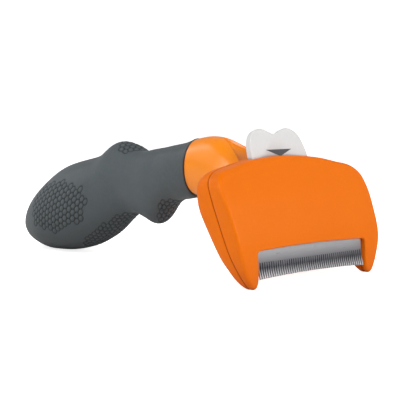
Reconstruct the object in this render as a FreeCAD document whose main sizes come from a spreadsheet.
import FreeCAD, Part
import math
import os
import Sketcher

# Deshedding tool for pets: a wedge shaped head with a toothed steel edge between two arms,
# a sprung push button on top of the head that drives a plate down behind the teeth, a
# gooseneck, and a soft grip round a two part core.
#
# Frame: +Z up, the handle runs along +Y, the flat face of the head looks along -Y, X is
# across the head. "Left" is the -X side, as seen looking at the face. The arm tips are at
# Z = 0 and the origin is at the middle of the tool's length.
#
# Head frame: x, y, z as above, but with y not yet moved back by "shift_y".
# Mechanism frame: a plane that leans back by "tilt" degrees from the vertical, with
# u along X, v up the plane and w square to it, to the rear. Aliases end in the axis they
# measure along; "_half" is half a width, "_r" a radius.

os.makedirs("parts", exist_ok=True)
doc = FreeCAD.newDocument("deshedding_tool")
V = FreeCAD.Vector
Rot = FreeCAD.Rotation

# ---------------------------------------------------------------- driving dimensions
dimensions = [
    # where the head's own zero sits, and the mechanism plane
    ("shift_y", 93.7), ("tilt", 20.71), ("slide_y", -3.396), ("parting_w", 1.773),
    # head outline, seen along Y
    ("slot_half", 35.0), ("slot_top", 16.2), ("slot_sag", 0.86), ("slot_corner", 1.5),
    ("tip_x", 37.8), ("top_z", 53.0),
    # side profile of the face
    ("face_foot_y", -3.62), ("face_low_y", -3.3), ("face_low_z", 10.0),
    ("face_mid_y", 5.2), ("face_mid_z", 38.0), ("face_lean", 0.585),
    # cavity
    ("cavity_slot_half", 34.7), ("cavity_shelf_z", 20.6),
    # push button
    ("button_thick", 3.0), ("button_half", 18.2), ("button_low_v", 51.2),
    ("button_lobe_x", 8.1), ("button_lobe_v", 69.1), ("button_notch_v", 66.6),
    ("button_gap", 0.35),
    ("tongue_half", 13.0), ("tongue_low_v", 43.0), ("tongue_thick", 1.6),
    # ejector plate and slider
    ("plate_half", 33.6), ("plate_low_v", 17.7), ("plate_wide_v", 21.4),
    ("plate_neck_half", 21.0), ("plate_top_v", 40.5), ("plate_thick", 0.9),
    ("slider_half", 20.0), ("slider_low_v", 31.0), ("slider_top_v", 50.9),
    ("slider_back_w", 3.6), ("slider_front_w", 0.95), ("slider_seat_w", 1.65),
    ("ear_x", 27.5), ("ear_half", 3.4), ("ear_low_v", 46.0), ("ear_top_v", 49.4),
    ("ear_front_w", 1.0), ("ear_back_w", 4.6),
    # guide pins and their upper seats
    ("seat_low_v", 50.0), ("seat_top_v", 52.4), ("seat_front_w", 1.3), ("seat_back_w", 6.0),
    ("pin_w", 2.8), ("pin_r", 1.0), ("pin_bore_r", 1.06),
    ("pin_low_v", 23.2), ("pin_top_v", 51.0),
    # blade
    ("blade_half", 34.0), ("blade_thick", 0.6), ("blade_top_v", 26.6), ("blade_w", -3.4),
    ("tooth_pitch", 1.40), ("tooth_count", 49), ("gap_top_z", 10.7),
    ("gap_top_half", 0.23), ("gap_low_half", 0.33), ("tips_z", 4.7), ("tips_sag", 0.86),
    # blade holder
    ("holder_low_v", 19.6), ("holder_top_v", 26.0), ("holder_back_w", -0.3),
    ("holder_half", 34.2),
    ("lug_half", 2.8), ("lug_low_v", 22.0), ("lug_top_v", 27.0), ("lug_back_w", 4.6),
    ("foot_half", 41.0), ("foot_low_v", 24.2), ("foot_top_v", 29.4),
    ("foot_screw_x", 38.2), ("foot_screw_v", 27.0),
    ("rivet_r", 1.0), ("rivet_head_r", 1.7), ("screw_r", 1.1), ("screw_head_r", 2.0),
    # springs
    ("spring_wire_r", 0.3), ("spring_mean_r", 1.75), ("spring_turns", 7.5),
    # posts that key the two shells together
    ("post_r", 2.0), ("post_bore_r", 2.05), ("socket_r", 3.6), ("post_x", 38.6),
    ("post_low_z", 32.6), ("post_high_z", 41.6), ("post_high_x", 37.2),
    # neck
    ("collar_y", 66.0), ("spigot_half", 5.6), ("spigot_high", 7.2), ("spigot_z", 43.8),
    ("spigot_len", 13.0),
    ("scoop_y", 52.5), ("scoop_z", 60.5), ("scoop_end_y", 20.0), ("scoop_end_z", 47.2),
    ("scoop_mid_half", 7.4), ("scoop_mid_depth", 2.8),
    ("scoop_end_half", 20.8), ("scoop_end_depth", 5.6),
    ("neck_screw_r", 1.5), ("neck_screw_head_r", 2.5), ("neck_screw_x", 9.0),
    ("neck_screw_z1", 30.0), ("neck_screw_z2", 42.0),
    # grip core
    ("core_wall", 2.2), ("core_gap", 0.06), ("half_gap", 0.02),
    ("cross_pin_y", 73.0), ("cross_pin_r", 1.5), ("cross_pin_half", 8.0),
    ("core_screw_r", 1.3), ("core_screw_head_r", 2.4), ("core_boss_r", 3.1),
]

# Oval cross sections along the handle: y, top z, low z, half width.
stations = {
    "grip": [
        (66.2, 59.2, 32, 10.6), (72.0, 57.31, 30.89, 10.6), (77.3, 56.29, 29.9, 10.66),
        (81.6, 55.55, 27.85, 10.6), (85.9, 54.73, 23.76, 10.76), (89.2, 54.2, 19.63, 11.3),
        (92.2, 53.76, 17.94, 11.96), (96.2, 53.08, 19.17, 12.47), (100.9, 52.34, 20.97, 12.99),
        (105.1, 53.03, 22.36, 13.35), (108.7, 54.6, 22.09, 13.81), (112.9, 55.84, 19.78, 14.48),
        (118.0, 56.41, 16.15, 15.32), (122.5, 53.91, 12.8, 16.06), (127.2, 50.86, 9.56, 17.01),
        (132.3, 49.02, 6.92, 18.06), (138.9, 47.52, 4.07, 19.02), (146.8, 45.82, 1.83, 19.56),
        (154.7, 43.42, 0.53, 19.43), (162.0, 39.46, 0.13, 18.68), (168.9, 35.14, 0.13, 16.95),
        (175.5, 30.53, 1.28, 14.33), (180.8, 25.93, 2.79, 11.59), (185.3, 21.22, 4.9, 8.48),
        (188.9, 16.89, 7.81, 5.14), (191.0, 14, 10.53, 1.73),
    ],
    # the stiff core inside the grip
    "core": [
        (66.1, 56.4, 35.1, 7.9), (74.0, 54.6, 33.4, 8.3), (81.0, 52.8, 31.0, 8.7),
        (90.0, 50.9, 27.6, 9.2), (100.0, 49.6, 25.2, 9.8), (110.0, 50.2, 23.0, 10.8),
        (120.0, 50.2, 17.2, 12.8), (130.0, 46.6, 12.0, 14.6), (140.0, 43.6, 8.0, 15.8),
        (150.0, 41.2, 5.4, 16.2), (160.0, 38.2, 4.2, 15.6), (168.0, 33.8, 4.2, 13.6),
        (175.0, 28.6, 5.6, 10.8), (180.0, 23.8, 8.0, 7.2), (183.0, 20.0, 10.6, 3.6),
    ],
    # from the grip forward into the back of the head
    "neck": [
        (66.0, 58.9, 33.1, 10.0), (60.5, 60.0, 32.0, 10.5), (54.5, 60.3, 30.8, 11.2),
        (48.5, 59.3, 29.3, 12.2), (42.5, 57.0, 27.6, 13.6), (36.5, 54.6, 25.8, 15.6),
        (30.5, 52.2, 24.0, 18.2), (24.5, 50.2, 22.6, 21.2), (19.0, 48.8, 22.0, 23.6),
        (14.0, 47.5, 22.0, 25.4),
    ],
}
for tag, rows in stations.items():
    for i, row in enumerate(rows):
        for column, number in zip(("y", "top", "low", "half"), row):
            dimensions.append(("%s_%s_%02d" % (tag, column, i), number))

sheet = doc.addObject("Spreadsheet::Sheet", "Dims")
values = {}
for line, (alias, number) in enumerate(dimensions, 1):
    sheet.set("A%d" % line, alias)
    sheet.set("B%d" % line, repr(float(number)))
    sheet.setAlias("B%d" % line, alias)
    values[alias] = float(number)
doc.recompute()

FIT = 0.02  # small clearance, on the radius of most bores
SIDES = (("left", -1.0), ("right", 1.0))


class Size:
    """A number together with the sheet expression it comes from."""

    def __init__(self, number, text=None):
        self.number = float(number)
        self.text = repr(float(number)) if text is None else text

    @staticmethod
    def of(value):
        return value if isinstance(value, Size) else Size(value)

    def __add__(self, other):
        other = Size.of(other)
        return Size(self.number + other.number, "(%s + %s)" % (self.text, other.text))

    def __sub__(self, other):
        other = Size.of(other)
        return Size(self.number - other.number, "(%s - %s)" % (self.text, other.text))

    def __rsub__(self, other):
        return Size.of(other) - self

    def __mul__(self, other):
        other = Size.of(other)
        return Size(self.number * other.number, "(%s * %s)" % (self.text, other.text))

    def __truediv__(self, other):
        other = Size.of(other)
        return Size(self.number / other.number, "(%s / %s)" % (self.text, other.text))

    def __neg__(self):
        return Size(-self.number, "(0 - %s)" % self.text)


def dim(alias):
    return Size(values[alias], "Dims." + alias)


def bind(obj, prop, size):
    obj.setExpression(prop, Size.of(size).text)


tilt_angle = math.radians(values["tilt"])
TILT_SIN = Size(math.sin(tilt_angle), "sin(Dims.tilt * 1 deg)")
TILT_COS = Size(math.cos(tilt_angle), "cos(Dims.tilt * 1 deg)")
TILT_TAN = Size(math.tan(tilt_angle), "tan(Dims.tilt * 1 deg)")


# ---------------------------------------------------------------- placing
def head_place(obj, x=0.0, y=0.0, z=0.0, rotation=Rot()):
    """Place in the head frame."""
    obj.Placement = FreeCAD.Placement(V(0, 0, 0), rotation)
    bind(obj, "Placement.Base.x", x)
    bind(obj, "Placement.Base.y", Size.of(y) - dim("shift_y"))
    bind(obj, "Placement.Base.z", z)


def slide_place(obj, u=0.0, v=0.0, w=0.0, turned=90.0):
    """Place in the mechanism frame: local X is u, local Y is v, local Z points forward
    (minus w). With turned=0, local Z is v instead."""
    angle = turned - dim("tilt")
    obj.Placement = FreeCAD.Placement(V(0, 0, 0), Rot(V(1, 0, 0), angle.number))
    bind(obj, "Placement.Rotation.Angle", angle)
    v, w = Size.of(v), Size.of(w)
    bind(obj, "Placement.Base.x", u)
    bind(obj, "Placement.Base.y",
         dim("slide_y") - dim("shift_y") + v * TILT_SIN + w * TILT_COS)
    bind(obj, "Placement.Base.z", v * TILT_COS - w * TILT_SIN)


# ---------------------------------------------------------------- bodies and sketches
def new_body(name, place=head_place):
    body = doc.addObject("PartDesign::Body", name)
    place(body)
    return body


def origin_feature(body, role):
    return [f for f in body.Origin.OriginFeatures if f.Role == role][0]


def new_sketch(body, name, role):
    sketch = body.newObject("Sketcher::SketchObject", name)
    sketch.AttachmentSupport = [(origin_feature(body, role), "")]
    sketch.MapMode = "FlatFace"
    return sketch


def pin_point(sketch, edge, x, y):
    """Fix the start of one edge at sheet driven coordinates."""
    for kind, size in (("DistanceX", Size.of(x)), ("DistanceY", Size.of(y))):
        i = sketch.addConstraint(Sketcher.Constraint(kind, -1, 1, edge, 1, size.number))
        sketch.setExpression("Constraints[%d]" % i, size.text)


def plain(point):
    return V(Size.of(point[0]).number, Size.of(point[1]).number, 0)


def loop(sketch, points, curves=None, tangents=None):
    """Closed loop of straight edges through points. curves maps an edge's index to the inner
    points of a smooth curve that takes its place; tangents maps it to the end directions."""
    curves = curves or {}
    tangents = tangents or {}
    count = len(points)
    first = sketch.GeometryCount
    for i in range(count):
        start, end = plain(points[i]), plain(points[(i + 1) % count])
        if i in curves:
            ends = {}
            if i in tangents:
                ends = dict(InitialTangent=tangents[i][0], FinalTangent=tangents[i][1])
            curve = Part.BSplineCurve()
            curve.interpolate(Points=[start] + [plain(p) for p in curves[i]] + [end], **ends)
            sketch.addGeometry(curve, False)
        else:
            sketch.addGeometry(Part.LineSegment(start, end), False)
    for i in range(count):
        following = first + (i + 1) % count
        sketch.addConstraint(Sketcher.Constraint("Coincident", first + i, 2, following, 1))
    for i in range(count):
        pin_point(sketch, first + i, *points[i])


def mirrored(points):
    """The points in reverse order on the other side of X = 0."""
    return [(-x, z) for x, z in reversed(points)]


def pad(body, name, sketch, length, both=True):
    """Pad to both sides of the sketch, or else to its back only."""
    feature = body.newObject("PartDesign::Pad", name)
    feature.Profile = sketch
    bind(feature, "Length", length)
    feature.Reversed = not both
    feature.Midplane = both
    sketch.Visibility = False
    doc.recompute()


def pocket(body, name, sketch, length):
    """Cut to both sides of the sketch."""
    before = body.Shape.Volume
    feature = body.newObject("PartDesign::Pocket", name)
    feature.Profile = sketch
    bind(feature, "Length", length)
    feature.Midplane = True
    doc.recompute()
    if not body.Shape.Volume < before - 1e-6:
        raise RuntimeError("pocket %s cuts nothing" % name)
    return feature


# ---------------------------------------------------------------- booleans
def fuse(name, shapes):
    feature = doc.addObject("Part::MultiFuse", name)
    feature.Shapes = shapes
    doc.recompute()
    return feature


def cut(name, base, tools):
    feature = doc.addObject("Part::Cut", name)
    feature.Base = base
    if len(tools) == 1:
        feature.Tool = tools[0]
    else:
        joined = doc.addObject("Part::MultiFuse", name + "_tools")
        joined.Shapes = tools
        feature.Tool = joined
    doc.recompute()
    return feature


def common(name, base, tool):
    feature = doc.addObject("Part::Common", name)
    feature.Base = base
    feature.Tool = tool
    doc.recompute()
    return feature


def compound(name, items):
    group = doc.addObject("Part::Compound", name)
    group.Links = items
    return group


# ---------------------------------------------------------------- blocks and round bars
def box_uvw(name, u0, u1, v0, v1, w0, w1):
    """Block in the mechanism frame. Local Z points forward, so it starts at the rear face."""
    box = doc.addObject("Part::Box", name)
    bind(box, "Length", Size.of(u1) - u0)
    bind(box, "Width", Size.of(v1) - v0)
    bind(box, "Height", Size.of(w1) - w0)
    slide_place(box, u0, v0, w1)
    return box


def cylinder(name, radius, start, end):
    bar = doc.addObject("Part::Cylinder", name)
    bind(bar, "Radius", radius)
    bind(bar, "Height", Size.of(end) - start)
    return bar


def rod_w(name, radius, u, v, w0, w1):
    bar = cylinder(name, radius, w0, w1)
    slide_place(bar, u, v, w1)
    return bar


def rod_v(name, radius, u, w, v0, v1):
    bar = cylinder(name, radius, v0, v1)
    slide_place(bar, u, v0, w, turned=0.0)
    return bar


def rod_y(name, radius, x, z, y0, y1):
    bar = cylinder(name, radius, y0, y1)
    head_place(bar, x, y0, z, Rot(V(1, 0, 0), -90.0))
    return bar


def rod_x(name, radius, y, z, x0, x1):
    bar = cylinder(name, radius, x0, x1)
    head_place(bar, x0, y, z, Rot(V(0, 1, 0), 90.0))
    return bar


# In screw and rivet, "at" is the place across the bar's axis and each part is given as
# (radius, start, end) along it.
def screw(prefix, tag, rod, at, shank, head, drive):
    """Shank and head, with a round drive recess."""
    parts = [rod("%s_%s_%s" % (prefix, part, tag), radius, *at, start, end)
             for part, (radius, start, end) in
             (("shank", shank), ("top", head), ("drive", drive))]
    whole = fuse("%s_body_%s" % (prefix, tag), parts[:2])
    return cut("%s_%s" % (prefix, tag), whole, parts[2:])


def rivet(prefix, tag, at, shank, front, rear):
    """Shank along w with a flat head at each end."""
    parts = [rod_w("%s_%s_%s" % (prefix, part, tag), radius, *at, start, end)
             for part, (radius, start, end) in
             (("shank", shank), ("front", front), ("rear", rear))]
    return fuse("%s_%s" % (prefix, tag), parts)


# ---------------------------------------------------------------- head outline and cavities
# Widest part of the head from the arm tip up to the shoulder: x, z.
HEAD_SIDE = [
    (39.6, 0.55), (41.1, 2.4), (42.5, 5.0), (43.8, 8.2), (45.6, 14.0), (46.6, 22.0),
    (47.1, 29.0), (47.45, 35.5), (47.5, 39.4), (46.9, 43.2), (44.1, 46.35), (40.6, 48.0),
]
HEAD_TOP_X = (34.5, 27.0, 18.0, 9.0)
# Rounded inner edge of an arm tip: x, z.
ARM_TIP = [(35.4, 2.2), (36.3, 0.55)]
ARM_TIP_Z = 5.4          # where that rounding ends
CORNER_INSET = 0.293     # middle of a rounded corner, as a share of its size
# Rim of the cavity above its shelf, from the arm to the middle: x, z.
CAVITY_RIM = [
    (41.7, 21.6), (43.1, 26.0), (43.8, 31.0), (44.1, 37.0), (43.6, 41.3), (41.2, 44.6),
    (36.0, 46.7), (28.0, 48.4), (15.0, 50.1), (0.0, 50.7),
]
CAVITY_OPEN_Z = -10.0    # the cavity runs out below, between the arms
CAVITY_ROOF_Z = 50.9
SWEEP_WIDTH = 120.0
TRIM_LENGTH = 200.0
PROFILE_LOW_Z, PROFILE_TOP_Z = -1.0, 56.0


def top_z_at(x):
    return values["top_z"] - 6.8 * (x / 50.0) ** 2 - 2.4 * (x / 50.0) ** 4


def head_outline(sketch):
    """Outline of the head with the open slot between its arms."""
    tip_x, slot_half, slot_top = dim("tip_x"), dim("slot_half"), dim("slot_top")
    corner = dim("slot_corner")
    end_z = slot_top - dim("slot_sag")
    right = [
        (slot_half - corner, end_z), (slot_half, end_z - corner), (slot_half, ARM_TIP_Z),
    ]
    points = [(tip_x, 0.0), (-tip_x, 0.0)] + mirrored(right) + [(0.0, slot_top)] + right

    inset = values["slot_corner"] * CORNER_INSET
    corner_middle = [(values["slot_half"] - inset, end_z.number - inset)]
    roof = [(x, values["slot_top"] - values["slot_sag"] * (x / values["slot_half"]) ** 2)
            for x in (11.0, 22.0)]
    shoulder = HEAD_SIDE + [(x, top_z_at(x)) for x in HEAD_TOP_X]
    loop(sketch, points, {
        0: shoulder + [(0.0, values["top_z"])] + mirrored(shoulder),
        1: mirrored(ARM_TIP),
        3: mirrored(corner_middle),
        4: mirrored(roof),
        5: roof,
        6: corner_middle,
        8: ARM_TIP,
    })


def cavity_outline(sketch):
    slot_half = dim("cavity_slot_half")
    right = [(slot_half, CAVITY_OPEN_Z), (slot_half, dim("cavity_shelf_z"))] + CAVITY_RIM
    loop(sketch, right + mirrored(right[:-1]))


def swept_body(name, prefix, trim, side_points, curves=None, tangents=None):
    """Side profile swept across the head, then trimmed to an outline seen along Y."""
    body = new_body(name)
    side = new_sketch(body, prefix + "_side", "YZ_Plane")
    loop(side, side_points, curves, tangents)
    pad(body, prefix + "_sweep", side, SWEEP_WIDTH)
    around = new_sketch(body, prefix + "_trim", "XZ_Plane")
    loop(around, [(-70.0, -20.0), (70.0, -20.0), (70.0, 80.0), (-70.0, 80.0)])
    trim(around)
    pocket(body, prefix + "_outline", around, TRIM_LENGTH)
    return body


def parting_point(z):
    """Point of the plane in which the two shells meet."""
    return (dim("slide_y") + dim("parting_w") / TILT_COS + TILT_TAN * z, z)


# Side profiles: y, z.
FACE_CURVE = [(-2.9, 15.0), (-2.0, 20.0), (0.0, 26.0), (2.35, 32.0)]
FRONT_CAVITY_SIDE = [
    (-1.35, 14.0), (-1.0, 17.0), (-0.15, 20.0), (1.15, 24.0), (4.6, 32.0), (7.6, 38.0),
    (15.2, CAVITY_ROOF_Z), (40.0, CAVITY_ROOF_Z), (40.0, 14.0),
]
REAR_CURVE = [
    (2.2, 1.0), (4.71, 3.6), (7.34, 7.1), (10.13, 10.6), (12.8, 14.6), (15.2, 18.7),
    (17.6, 23.0), (20.0, 27.4), (21.8, 31.2), (22.8, 34.8), (23.2, 38.6), (23.1, 42.6),
    (22.4, 46.6), (21.1, 50.4),
]
REAR_CAVITY_SIDE = [
    (-5.0, 18.4), (11.2, 18.4), (16.4, 27.2), (18.4, 31.2), (19.5, 35.0), (19.9, 38.6),
    (19.8, 42.4), (19.1, 46.4), (18.0, CAVITY_ROOF_Z), (-5.0, CAVITY_ROOF_Z),
]

face_top_y = dim("face_mid_y") + dim("face_lean") * (PROFILE_TOP_Z - dim("face_mid_z"))
front_outer = swept_body("front_outer", "front", head_outline, [
    (dim("face_foot_y"), PROFILE_LOW_Z), (dim("face_low_y"), dim("face_low_z")),
    (dim("face_mid_y"), dim("face_mid_z")), (face_top_y, PROFILE_TOP_Z),
    parting_point(PROFILE_TOP_Z), parting_point(PROFILE_LOW_Z),
], {1: FACE_CURVE}, {1: (V(0.03, 1.0, 0), V(values["face_lean"], 1.0, 0))})
front_cavity = swept_body("front_cavity", "front_cavity", cavity_outline, FRONT_CAVITY_SIDE)

# the rear shell swells backward from the arm tips to the top of the head
rear_outer = swept_body("rear_outer", "rear", head_outline, [
    (0.3, PROFILE_LOW_Z), (18.8, PROFILE_TOP_Z),
    parting_point(PROFILE_TOP_Z), parting_point(PROFILE_LOW_Z),
], {0: REAR_CURVE})
rear_cavity = swept_body("rear_cavity", "rear_cavity", cavity_outline, REAR_CAVITY_SIDE)

# ---------------------------------------------------------------- front and rear shells
# Posts and sockets: tag, x, z, post start y, post end y, socket start y, socket end y.
POSTS = (
    ("low", dim("post_x"), dim("post_low_z"), 3.9, 16.4, 11.7, 19.6),
    ("high", dim("post_high_x"), dim("post_high_z"), 8.4, 18.4, 15.2, 20.4),
)
FOOT_BOSS_RADIUS = 2.7
NECK_BOSS_RADIUS = 3.6
SEAT_INSET = 0.3         # seat of a guide pin, narrower than the slider's ear on each side
SEAT_ROOM = 0.25
ear_x, ear_half = dim("ear_x"), dim("ear_half")
foot_x, foot_v = dim("foot_screw_x"), dim("foot_screw_v")
# Screws into the neck: x, z, y under the head, y where the boss ends.
neck_screw_places = [
    (dim("neck_screw_x") * sign, z, seat_y, boss_y)
    for sign in (-1.0, 1.0)
    for z, seat_y, boss_y in ((dim("neck_screw_z1"), 16.35, 18.6),
                              (dim("neck_screw_z2"), 19.25, 20.4))
]


def button_well(name):
    """Opening in the roof that the button slides through."""
    gap = dim("button_gap")
    half = dim("button_half") + gap
    return box_uvw(name, -half, half, 49.0, 66.0, -gap, dim("button_thick") + gap)


front_adds, front_cuts = [], [button_well("front_well")]
rear_adds, rear_cuts = [], [button_well("rear_well")]
for side, sign in SIDES:
    for tag, x, z, post_y0, post_y1, socket_y0, socket_y1 in POSTS:
        ending = "%s_%s" % (tag, side)
        x = x * sign
        front_adds.append(rod_y("post_" + ending, dim("post_r"), x, z, post_y0, post_y1))
        rear_adds.append(rod_y("socket_" + ending, dim("socket_r"), x, z,
                               socket_y0, socket_y1))
        rear_cuts.append(rod_y("socket_bore_" + ending, dim("post_bore_r"), x, z,
                               socket_y0 - 1.0, post_y1 + 0.3))
    # bosses for the two screws of the blade holder
    front_adds.append(rod_w("foot_boss_" + side, FOOT_BOSS_RADIUS, foot_x * sign, foot_v,
                            -5.5, -3.12))
    front_cuts.append(rod_w("foot_pilot_" + side, dim("screw_r") + FIT, foot_x * sign, foot_v,
                            -5.25, -3.0))
    # upper seats of the guide pins
    seat_u0 = ear_x * sign - ear_half + SEAT_INSET
    seat_u1 = ear_x * sign + ear_half - SEAT_INSET
    rear_adds.append(box_uvw("seat_" + side, seat_u0, seat_u1, dim("seat_low_v"),
                             dim("seat_top_v"), dim("seat_front_w"), dim("seat_back_w")))
    rear_cuts.append(rod_v("seat_bore_" + side, dim("pin_r") + FIT, ear_x * sign,
                           dim("pin_w"), 49.0, dim("pin_top_v") + 0.1))
    front_cuts.append(box_uvw("seat_room_" + side, seat_u0 - SEAT_ROOM, seat_u1 + SEAT_ROOM,
                              49.5, 53.0, 0.9, 6.0))
for i, (x, z, seat_y, boss_y) in enumerate(neck_screw_places):
    rear_adds.append(rod_y("neck_boss_%d" % i, NECK_BOSS_RADIUS, x, z, seat_y, boss_y))
    rear_cuts.append(rod_y("neck_hole_%d" % i, dim("neck_screw_r") + 0.1, x, z,
                           seat_y - 1.0, 24.0))

front_open = cut("front_open", front_outer, [front_cavity])
front_full = fuse("front_full", [front_open] + front_adds)
front_shell = cut("front_shell", front_full, front_cuts)
rear_open = cut("rear_open", rear_outer, [rear_cavity])
rear_full = fuse("rear_full", [rear_open] + rear_adds)
rear_shell = cut("rear_shell", rear_full, rear_cuts)

# ---------------------------------------------------------------- blade
# The strip leans back inside the head, stands nearly upright in the slot and its teeth
# curl forward at their tips. Middle line of the curved part: y, z.
BLADE_CURVE = [
    (-2.75, 3.2), (-2.55, 4.0), (-1.95, 6.0), (-1.5, 8.0), (-1.2, 10.5), (-0.98, 13.0),
    (-0.72, 15.6), (-0.1, 18.4),
]
BLADE_CUT_LENGTH = 40.0
TIPS_SPAN = 35.0         # x at which the tips have dropped by tips_sag
RIVET_V = 23.0
rivet_places = [(u, RIVET_V) for u in (-22.0, -8.0, 8.0, 22.0)]


def blade_plane_point(v):
    """y and z of a point of the blade's leaning part."""
    sine, cosine, w = TILT_SIN.number, TILT_COS.number, values["blade_w"]
    return (values["slide_y"] + v * sine + w * cosine, v * cosine - w * sine)


def blade_faces():
    """Front and back points of the strip, half its thickness from the middle line."""
    middle = BLADE_CURVE + [blade_plane_point(v) for v in (20.6, 23.5, values["blade_top_v"])]
    half = values["blade_thick"] / 2.0
    front, back = [], []
    for i, (y, z) in enumerate(middle):
        before, after = middle[max(0, i - 1)], middle[min(len(middle) - 1, i + 1)]
        run = math.hypot(after[0] - before[0], after[1] - before[1])
        normal_y = (after[1] - before[1]) / run
        normal_z = -(after[0] - before[0]) / run
        front.append((y - normal_y * half, z - normal_z * half))
        back.append((y + normal_y * half, z + normal_z * half))
    return front, back


def tip_point(x):
    return (x, values["tips_z"] - values["tips_sag"] * (x / TIPS_SPAN) ** 2)


blade = new_body("blade_strip")
sketch = new_sketch(blade, "blade_side", "YZ_Plane")
front, back = blade_faces()
bend = len(BLADE_CURVE) - 1
loop(sketch, [front[0], front[bend], front[-1], back[-1], back[bend], back[0]],
     {0: front[1:bend], 4: back[1:bend][::-1]})
pad(blade, "blade_sweep", sketch, dim("blade_half") * 2.0)

sketch = new_sketch(blade, "tip_line", "XZ_Plane")
loop(sketch, [tip_point(-36.0), (0.0, dim("tips_z")), tip_point(36.0), (36.0, 0.0),
              (-36.0, 0.0)],
     {0: [tip_point(-24.0), tip_point(-12.0)], 1: [tip_point(12.0), tip_point(24.0)]})
pocket(blade, "tip_curve", sketch, BLADE_CUT_LENGTH)

# one gap at the left end, repeated along X
gap_span = dim("tooth_pitch") * (dim("tooth_count") - 2.0)
gap_x = -(gap_span / 2.0)
low_half, top_half, gap_top = dim("gap_low_half"), dim("gap_top_half"), dim("gap_top_z")
GAP_TAPER_Z = 6.0        # the gap narrows above this height
sketch = new_sketch(blade, "tooth_gap", "XZ_Plane")
loop(sketch, [(gap_x - low_half, 0.0), (gap_x + low_half, 0.0),
              (gap_x + low_half, GAP_TAPER_Z), (gap_x + top_half, gap_top),
              (gap_x - top_half, gap_top), (gap_x - low_half, GAP_TAPER_Z)])
gap_cut = pocket(blade, "tooth_gap_cut", sketch, BLADE_CUT_LENGTH)
teeth = blade.newObject("PartDesign::LinearPattern", "teeth")
teeth.Originals = [gap_cut]
teeth.Direction = (origin_feature(blade, "X_Axis"), [""])
# Where the overall length mode goes by another name, it is already the default.
if "length" in teeth.getEnumerationsOfProperty("Mode"):
    teeth.Mode = "length"
teeth.Occurrences = int(values["tooth_count"]) - 1
bind(teeth, "Length", gap_span)
blade.Tip = teeth
doc.recompute()
rivet_hole = dim("rivet_r") + FIT
comb_blade = cut("comb_blade_cut", blade, [
    rod_w("blade_hole_%d" % i, rivet_hole, u, v, -5.0, -2.0)
    for i, (u, v) in enumerate(rivet_places)])

# ---------------------------------------------------------------- blade holder
HOLDER_THROUGH = (-6.0, 1.0)   # w range of a cut right through the holder
holder_half, foot_half = dim("holder_half"), dim("foot_half")
holder_w = (dim("blade_w") + dim("blade_thick") / 2.0 + 0.01, dim("holder_back_w"))
holder_bar = box_uvw("holder_bar", -holder_half, holder_half,
                     dim("holder_low_v"), dim("holder_top_v"), *holder_w)
holder_feet = box_uvw("holder_feet", -foot_half, foot_half,
                      dim("foot_low_v"), dim("foot_top_v"), *holder_w)
# the strip between the feet that would stand above the bar is cut away
holder_cuts = [box_uvw("holder_between", -holder_half, holder_half,
                       dim("holder_top_v"), 40.0, *HOLDER_THROUGH)]
lugs, lug_bores = [], []
for side, sign in SIDES:
    lug_u, lug_half = ear_x * sign, dim("lug_half")
    lugs.append(box_uvw("lug_" + side, lug_u - lug_half, lug_u + lug_half,
                        dim("lug_low_v"), dim("lug_top_v"), -0.8, dim("lug_back_w")))
    holder_cuts.append(rod_w("foot_hole_" + side, dim("screw_r") + 0.1, foot_x * sign, foot_v,
                             *HOLDER_THROUGH))
    lug_bores.append(rod_v("lug_bore_" + side, dim("pin_r") + FIT, lug_u, dim("pin_w"),
                           dim("pin_low_v"), 40.0))
for i, (u, v) in enumerate(rivet_places):
    holder_cuts.append(rod_w("holder_rivet_hole_%d" % i, rivet_hole, u, v, *HOLDER_THROUGH))
    holder_cuts.append(rod_w("holder_rivet_seat_%d" % i, dim("rivet_head_r") + 0.05, u, v,
                             -0.95, 1.0))
holder_block = fuse("holder_block", [holder_bar, holder_feet])
holder_drilled = cut("holder_drilled", holder_block, holder_cuts)
holder_lugged = fuse("holder_lugged", [holder_drilled] + lugs)
blade_holder = cut("blade_holder", holder_lugged, lug_bores)

blade_rivets = compound("blade_rivets", [
    rivet("rivet", str(i), place, shank=(dim("rivet_r"), -3.9, -0.7),
          front=(dim("rivet_head_r"), -4.07, -3.74), rear=(dim("rivet_head_r"), -0.94, -0.45))
    for i, place in enumerate(rivet_places)])
holder_screws = compound("holder_screws", [
    screw("holder_screw", side, rod_w, (foot_x * sign, foot_v),
          shank=(dim("screw_r"), -5.1, -0.1), head=(dim("screw_head_r"), -0.29, 0.9),
          drive=(0.8, 0.3, 1.2))
    for side, sign in SIDES])

# ---------------------------------------------------------------- ejector plate
STAKE_RADIUS = 1.0
stake_hole = STAKE_RADIUS + FIT
stake_places = [(u, v) for u in (-9.0, 9.0) for v in (33.5, 38.0)]
PLATE_TOP_HALF = 14.0
PLATE_CHAMFER_V = 6.0    # height of the sloped shoulder beside the top edge

plate = new_body("ejector_plate_blank", slide_place)
sketch = new_sketch(plate, "plate_shape", "XY_Plane")
plate_half, plate_neck = dim("plate_half"), dim("plate_neck_half")
plate_low, plate_wide, plate_top = dim("plate_low_v"), dim("plate_wide_v"), dim("plate_top_v")
plate_right = [
    (plate_half, plate_low - 0.8), (plate_half, plate_wide), (plate_neck, plate_wide),
    (plate_neck, plate_top - PLATE_CHAMFER_V), (PLATE_TOP_HALF, plate_top),
]
plate_left = mirrored(plate_right)
lower_edge = [(11.0, values["plate_low_v"] - 0.08), (22.0, values["plate_low_v"] - 0.34)]
loop(sketch, [plate_left[-1], (0.0, plate_low)] + plate_right + plate_left[:-1],
     {0: mirrored(lower_edge), 1: lower_edge})
pad(plate, "plate_pad", sketch, dim("plate_thick"), both=False)
ejector_plate = cut("ejector_plate", plate, [
    rod_w("plate_hole_%d" % i, stake_hole, u, v, -1.0, 2.0)
    for i, (u, v) in enumerate(stake_places)])

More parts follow.
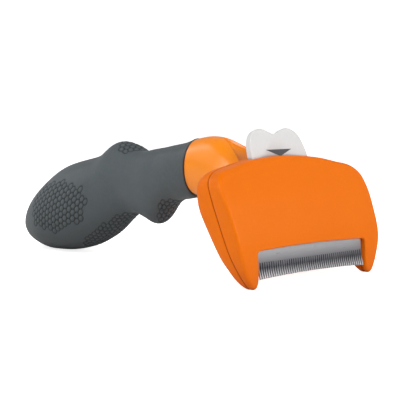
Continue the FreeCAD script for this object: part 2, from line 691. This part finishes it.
# ---------------------------------------------------------------- ejector slider
SLIDER_STEP_V = 42.6     # the web ends and the wider upper block begins
WEB_HALF = 14.5
SLIDER_THROUGH = (0.0, 5.0)    # w range of a cut right through the slider
button_screw_places = [(-8.0, 46.6), (8.0, 46.6)]
slider_back, slider_seat = dim("slider_back_w"), dim("slider_seat_w")
head_half = dim("slider_half") - 1.0
arm_half = ear_x + ear_half
ear_v = (dim("ear_low_v"), dim("ear_top_v"))
ear_w = (dim("ear_front_w"), dim("ear_back_w"))
slider_blocks = [
    box_uvw("slider_web", -WEB_HALF, WEB_HALF, dim("slider_low_v"), SLIDER_STEP_V,
            dim("slider_front_w"), slider_back),
    box_uvw("slider_head", -head_half, head_half, SLIDER_STEP_V, dim("slider_top_v"),
            slider_seat, slider_back),
    box_uvw("slider_arm", -arm_half, arm_half, *ear_v, slider_seat, slider_back),
    box_uvw("slider_ear_left", -ear_x - ear_half, -ear_x + ear_half, *ear_v, *ear_w),
    box_uvw("slider_ear_right", ear_x - ear_half, ear_x + ear_half, *ear_v, *ear_w),
]
slider_cuts = [rod_v("ear_bore_" + side, dim("pin_bore_r"), ear_x * sign, dim("pin_w"),
                     40.0, 60.0) for side, sign in SIDES]
for i, (u, v) in enumerate(stake_places):
    slider_cuts.append(rod_w("slider_rivet_hole_%d" % i, stake_hole, u, v, *SLIDER_THROUGH))
for i, (u, v) in enumerate(button_screw_places):
    slider_cuts.append(rod_w("slider_screw_hole_%d" % i, 1.15, u, v, *SLIDER_THROUGH))
    slider_cuts.append(rod_w("slider_screw_seat_%d" % i, 2.1, u, v, 2.7, 5.0))
# window in the web
slider_cuts.append(box_uvw("slider_window", -5.0, 5.0, 33.0, 40.0, *SLIDER_THROUGH))
ejector_slider = cut("ejector_slider", fuse("slider_block", slider_blocks), slider_cuts)

plate_rivets = compound("plate_rivets", [
    rivet("stake", str(i), place, shank=(STAKE_RADIUS, -0.1, 3.8),
          front=(1.6, -0.25, -0.01), rear=(1.7, 3.61, 4.1))
    for i, place in enumerate(stake_places)])

# ---------------------------------------------------------------- push button
# Right side of the button, from its foot up to the lobe, and on to the notch: u, v.
BUTTON_SIDE = [
    (18.25, 54.5), (18.1, 57.5), (17.6, 60.6), (16.6, 63.8), (14.5, 66.9), (11.5, 68.7),
]
BUTTON_NOTCH = [(5.7, 68.7), (3.2, 67.6), (1.5, 66.9)]
BUTTON_SCREW_RADIUS = 1.0

button = new_body("button_blank", slide_place)
sketch = new_sketch(button, "button_outline", "XY_Plane")
button_half, button_low = dim("button_half"), dim("button_low_v")
lobe = BUTTON_SIDE + [(values["button_lobe_x"], values["button_lobe_v"])] + BUTTON_NOTCH
loop(sketch, [(button_half, button_low), (-button_half, button_low)],
     {0: lobe + [(0.0, values["button_notch_v"])] + mirrored(lobe)})
pad(button, "button_pad", sketch, dim("button_thick"), both=False)
tongue = box_uvw("button_tongue", -dim("tongue_half"), dim("tongue_half"),
                 dim("tongue_low_v"), 53.0, 0.05, dim("tongue_thick"))
button_joined = fuse("button_joined", [button, tongue])
ejector_button = cut("ejector_button", button_joined, [
    rod_w("button_pilot_%d" % i, BUTTON_SCREW_RADIUS + FIT, u, v, 0.5, 2.0)
    for i, (u, v) in enumerate(button_screw_places)])

button_screws = compound("button_screws", [
    screw("button_screw", str(i), rod_w, place, shank=(BUTTON_SCREW_RADIUS, 0.6, 3.0),
          head=(1.9, 2.72, 3.7), drive=(0.7, 3.2, 4.0))
    for i, place in enumerate(button_screw_places)])


# ---------------------------------------------------------------- guide pins and springs
def return_spring(side, sign):
    """Coil round a guide pin, between the holder's lug and the slider's ear."""
    wire = dim("spring_wire_r")
    low, high = dim("lug_top_v") + wire + FIT, dim("ear_low_v") - wire - FIT
    coil = doc.addObject("Part::Helix", "coil_" + side)
    bind(coil, "Radius", dim("spring_mean_r"))
    bind(coil, "Height", high - low)
    bind(coil, "Pitch", (high - low) / dim("spring_turns"))
    slide_place(coil, ear_x * sign, low, dim("pin_w"), turned=0.0)
    doc.recompute()
    ring = doc.addObject("Part::Circle", "wire_" + side)
    bind(ring, "Radius", wire)
    ring.Placement = coil.Placement.multiply(
        FreeCAD.Placement(V(values["spring_mean_r"], 0, 0), Rot(V(1, 0, 0), 90)))
    spring = doc.addObject("Part::Sweep", "return_spring_" + side)
    spring.Sections = [ring]
    spring.Spine = (coil, ["Edge1"])
    spring.Solid = True
    spring.Frenet = True
    doc.recompute()
    return spring


pins, springs = {}, {}
for side, sign in SIDES:
    pins[side] = rod_v("guide_pin_" + side, dim("pin_r"), ear_x * sign, dim("pin_w"),
                       dim("pin_low_v"), dim("pin_top_v"))
    springs[side] = return_spring(side, sign)


# ---------------------------------------------------------------- ovals and lofts
def oval(name, y, z, major, minor, rotation):
    ellipse = doc.addObject("Part::Ellipse", name)
    bind(ellipse, "MajorRadius", major)
    bind(ellipse, "MinorRadius", minor)
    head_place(ellipse, y=y, z=z, rotation=rotation)
    return ellipse


def tall_oval(name, y, top, low, half):
    """Oval square to Y, its long axis along Z."""
    return oval(name, y, (top + low) / 2.0, (top - low) / 2.0, half,
                Rot(V(0, 0, 1), V(1, 0, 0), V(0, 1, 0), "ZXY"))


def wide_oval(name, y, z, across, up):
    """Oval square to Y, its long axis along X."""
    return oval(name, y, z, across, up, Rot(V(1, 0, 0), 90.0))


def loft(name, sections):
    feature = doc.addObject("Part::Loft", name)
    feature.Sections = sections
    feature.Solid = True
    feature.Ruled = False
    feature.MaxDegree = 5
    doc.recompute()
    return feature


def extrude_y(name, profile, length):
    feature = doc.addObject("Part::Extrusion", name)
    feature.Base = profile
    feature.Dir = V(0, 1, 0)
    feature.DirMode = "Custom"
    feature.Solid = True
    bind(feature, "LengthFwd", length)
    doc.recompute()
    return feature


def station(tag, i):
    """y, top, low and half width of one cross section."""
    return [dim("%s_%s_%02d" % (tag, column, i)) for column in ("y", "top", "low", "half")]


# The ovals of the neck and the grip turn from tall to wide, which an ellipse object can't do,
# so their sections are circles stretched to the sheet's numbers.
def oval_loft(name, tag):
    wires = []
    for i in range(len(stations[tag])):
        y, top, low, half = (size.number for size in station(tag, i))
        ring = Part.Circle(V(0, 0, 0), V(0, 1, 0), 1.0).toShape()
        ring.rotate(V(0, 0, 0), V(0, 1, 0), 90.0)
        stretch = FreeCAD.Matrix()
        stretch.scale(half, 1.0, (top - low) / 2.0)
        ring = ring.transformGeometry(stretch)
        ring.translate(V(0, y, (top + low) / 2.0))
        wires.append(Part.Wire([ring]))
    feature = doc.addObject("Part::Feature", name)
    feature.Shape = Part.makeLoft(wires, True, False)
    head_place(feature)
    doc.recompute()
    return feature


def core_shape(name, prefix, indices, upright=0.0, across=0.0):
    """Loft through core sections, grown by upright at top and bottom and across at the sides."""
    sections = []
    for i in indices:
        y, top, low, half = station("core", i)
        sections.append(tall_oval("%s_oval_%02d" % (prefix, i), y, top + upright,
                                  low - upright, half + across))
    return loft(name, sections)


# ---------------------------------------------------------------- neck
SPIGOT_ROOT = 4.0        # length of the spigot buried in the neck
PIN_HOLE_SPAN = (-20.0, 20.0)
spigot_z, spigot_high, spigot_half = dim("spigot_z"), dim("spigot_high"), dim("spigot_half")

neck_form = oval_loft("neck_form", "neck")
spigot = extrude_y("spigot", tall_oval("spigot_oval", dim("collar_y") - SPIGOT_ROOT,
                                       spigot_z + spigot_high, spigot_z - spigot_high,
                                       spigot_half),
                   dim("spigot_len") + SPIGOT_ROOT)

# thumb scoop: a flattened cone that opens forward from the top of the neck
scoop_y, scoop_z = dim("scoop_y"), dim("scoop_z")
scoop_end_y, scoop_end_z = dim("scoop_end_y"), dim("scoop_end_z")
scoop = loft("thumb_scoop", [
    wide_oval("scoop_tip", scoop_y, scoop_z, 0.06, 0.02),
    wide_oval("scoop_middle", (scoop_y + scoop_end_y) / 2.0, (scoop_z + scoop_end_z) / 2.0,
              dim("scoop_mid_half"), dim("scoop_mid_depth")),
    wide_oval("scoop_mouth", scoop_end_y, scoop_end_z,
              dim("scoop_end_half"), dim("scoop_end_depth")),
])
neck_full = fuse("neck_full", [neck_form, spigot])
neck_cuts = [
    rear_outer, front_outer, scoop, rear_full,
    rod_y("neck_bore", 3.6, 0.0, spigot_z, 46.0, 90.0),
    rod_x("spigot_cross_hole", dim("cross_pin_r") + FIT, dim("cross_pin_y"), spigot_z,
          *PIN_HOLE_SPAN),
]
for i, (x, z, seat_y, boss_y) in enumerate(neck_screw_places):
    neck_cuts.append(rod_y("neck_pilot_%d" % i, dim("neck_screw_r") + FIT, x, z, 14.0, 31.0))
neck = cut("neck", neck_full, neck_cuts)

neck_screws = compound("neck_screws", [
    screw("neck_screw", str(i), rod_y, (x, z),
          shank=(dim("neck_screw_r"), seat_y - 0.5, 30.0),
          head=(dim("neck_screw_head_r"), seat_y - 1.5, seat_y - 0.02),
          drive=(1.0, seat_y - 2.0, seat_y - 0.8))
    for i, (x, z, seat_y, boss_y) in enumerate(neck_screw_places)])

# ---------------------------------------------------------------- grip sleeve
core_count = len(stations["core"])
core_gap = dim("core_gap")
TAIL_LAP = 0.2           # overlap and inset of the room behind the core's last section

grip_form = oval_loft("grip_form", "grip")
core_form = core_shape("core_form", "core", range(core_count))
core_clearance = core_shape("core_clearance", "clear", range(core_count), core_gap, core_gap)
tail_y, tail_top, tail_low, tail_half = station("core", core_count - 1)
tail_room = extrude_y("core_tail_room", tall_oval("core_tail_oval", tail_y - TAIL_LAP,
                                                  tail_top - TAIL_LAP, tail_low + TAIL_LAP,
                                                  tail_half - TAIL_LAP),
                      core_gap + TAIL_LAP)
grip_sleeve = cut("grip_sleeve", grip_form, [core_clearance, tail_room])

# ---------------------------------------------------------------- handle core halves
# Screws across the core: y, z, half length of the screw, half length of its boss.
CORE_SCREWS = [
    (101.0, 37.4, 7.4, 9.0), (128.0, 30.2, 11.2, 13.6), (158.0, 21.6, 12.0, 15.0),
]
BORE_GAP = 0.05          # room round the spigot
core_wall = dim("core_wall")
core_hollow = core_shape("core_hollow", "hollow", range(3, core_count - 2),
                         upright=-(core_wall + 0.2), across=-core_wall)
core_bore = extrude_y("core_bore",
                      tall_oval("core_bore_oval", dim("core_y_00") - 2.0,
                                spigot_z + spigot_high + BORE_GAP,
                                spigot_z - spigot_high - BORE_GAP, spigot_half + BORE_GAP),
                      dim("collar_y") + dim("spigot_len") - dim("core_y_00") + 2.4)
core_bosses = [rod_x("core_boss_%d" % i, dim("core_boss_r"), y, z, -boss_half, boss_half)
               for i, (y, z, screw_half, boss_half) in enumerate(CORE_SCREWS)]
core_open = cut("core_open", core_form, [core_hollow, core_bore])
core_full = fuse("core_full", [core_open] + core_bosses)


def core_half(side, x0, x1):
    """One side of the core; the left takes the screw heads, the right the threads."""
    slab = doc.addObject("Part::Box", "core_side_" + side)
    bind(slab, "Length", x1 - x0)
    bind(slab, "Width", 140.0)
    bind(slab, "Height", 80.0)
    head_place(slab, x0, 60.0, -5.0)
    half = common("core_half_" + side, core_full, slab)
    cuts = [rod_x("core_pin_hole_" + side, dim("cross_pin_r") + FIT, dim("cross_pin_y"),
                  spigot_z, *PIN_HOLE_SPAN)]
    for i, (y, z, screw_half, boss_half) in enumerate(CORE_SCREWS):
        if side == "left":
            cuts.append(rod_x("core_clear_hole_%d" % i, dim("core_screw_r") + 0.15, y, z,
                              -20.0, 1.0))
            cuts.append(rod_x("core_head_seat_%d" % i, dim("core_screw_head_r") + 0.1, y, z,
                              -22.0, -screw_half + 1.2))
        else:
            cuts.append(rod_x("core_pilot_%d" % i, dim("core_screw_r") + FIT, y, z,
                              -1.0, screw_half - 1.4))
    return cut("handle_core_" + side, half, cuts)


core_left = core_half("left", -30.0, -dim("half_gap"))
core_right = core_half("right", dim("half_gap"), Size(30.0))

core_screws = compound("core_screws", [
    screw("core_screw", str(i), rod_x, (y, z),
          shank=(dim("core_screw_r"), -screw_half, screw_half - 1.5),
          head=(dim("core_screw_head_r"), -screw_half - 0.4, -screw_half + 1.18),
          drive=(1.0, -screw_half - 1.0, -screw_half + 0.4))
    for i, (y, z, screw_half, boss_half) in enumerate(CORE_SCREWS)])
cross_pin = rod_x("cross_pin", dim("cross_pin_r"), dim("cross_pin_y"), spigot_z,
                  -dim("cross_pin_half"), dim("cross_pin_half"))

# ---------------------------------------------------------------- checks and files
doc.recompute()
nodes = {
    "front_shell": front_shell, "rear_shell": rear_shell,
    "neck": neck, "neck_screws": neck_screws,
    "comb_blade": comb_blade, "blade_holder": blade_holder,
    "blade_rivets": blade_rivets, "holder_screws": holder_screws,
    "ejector_plate": ejector_plate, "plate_rivets": plate_rivets,
    "ejector_slider": ejector_slider,
    "ejector_button": ejector_button, "button_screws": button_screws,
    "guide_pin_left": pins["left"], "guide_pin_right": pins["right"],
    "return_spring_left": springs["left"], "return_spring_right": springs["right"],
    "handle_core_left": core_left, "handle_core_right": core_right,
    "core_screws": core_screws, "cross_pin": cross_pin, "grip_sleeve": grip_sleeve,
}
for obj in doc.Objects:
    if any(word in obj.State for word in ("Invalid", "Error")):
        raise RuntimeError("%s (%s) failed: %s" % (obj.Name, obj.Label, obj.State))
for name, obj in nodes.items():
    obj.Label = name
    shape = obj.Shape
    if shape.isNull() or not shape.isValid() or not shape.Solids:
        raise RuntimeError("%s has no valid solid" % name)
    shape.exportStep("parts/%s.step" % name)
